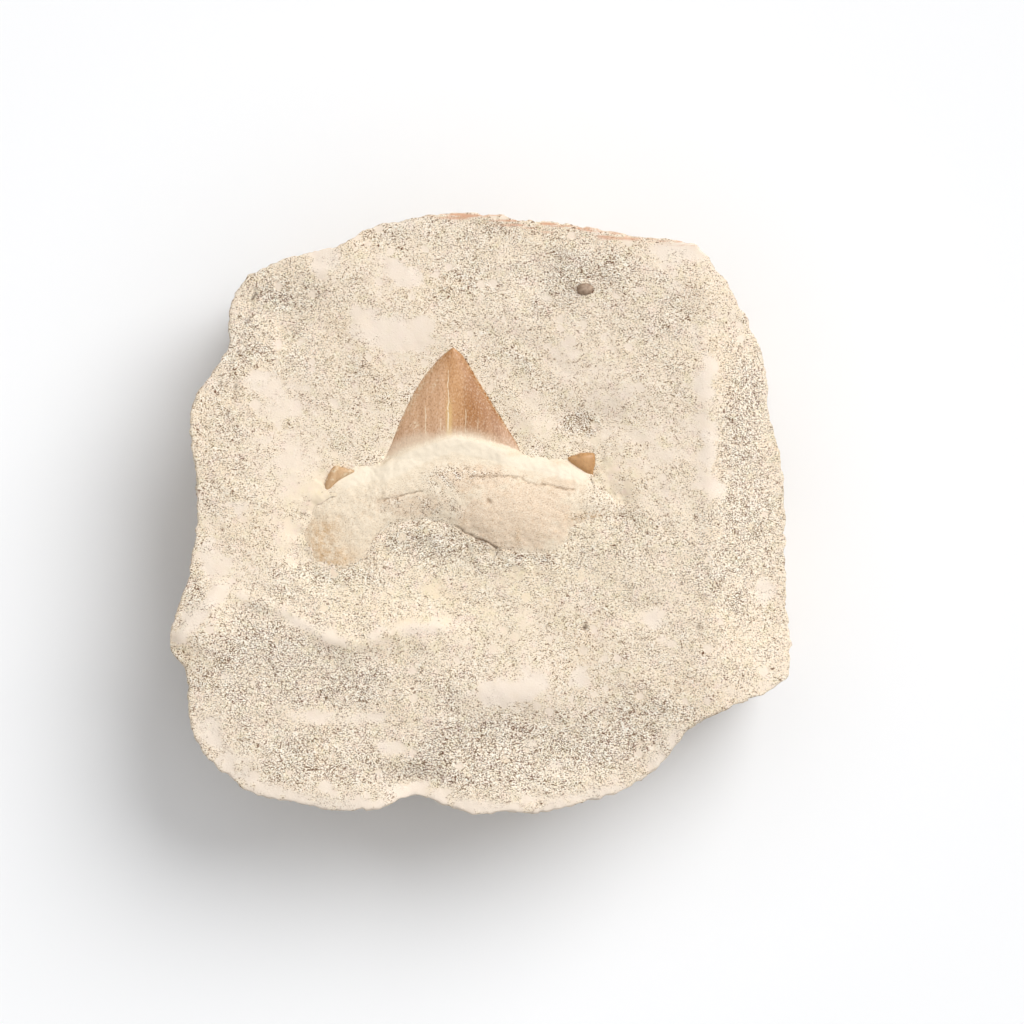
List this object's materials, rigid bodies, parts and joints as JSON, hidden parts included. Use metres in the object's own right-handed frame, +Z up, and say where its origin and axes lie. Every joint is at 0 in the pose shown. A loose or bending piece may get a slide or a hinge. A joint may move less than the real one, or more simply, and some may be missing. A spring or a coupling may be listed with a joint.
{
  "type": "fossil shark tooth in stone",
  "caption": "Fossil shark tooth, tan crown and pale root with side cusplets, lying in a flat-based block of sandy stone.",
  "frame": {"origin": "middle of the bounding box on the flat base the stone rests on", "axes": "+Z up out of the tooth's face, +Y from root to crown tip, +X along the root to the right"},
  "size_m": [0.0992, 0.0965, 0.0273],
  "materials": {
    "sandy_stone": "matte",
    "tooth": "satin",
    "pebble": "matte"
  },
  "bodies": {
    "root": {"stone_matrix": "sandy_stone", "shark_tooth": "tooth", "grey_pebble": "pebble"}
  },
  "joints": []
}
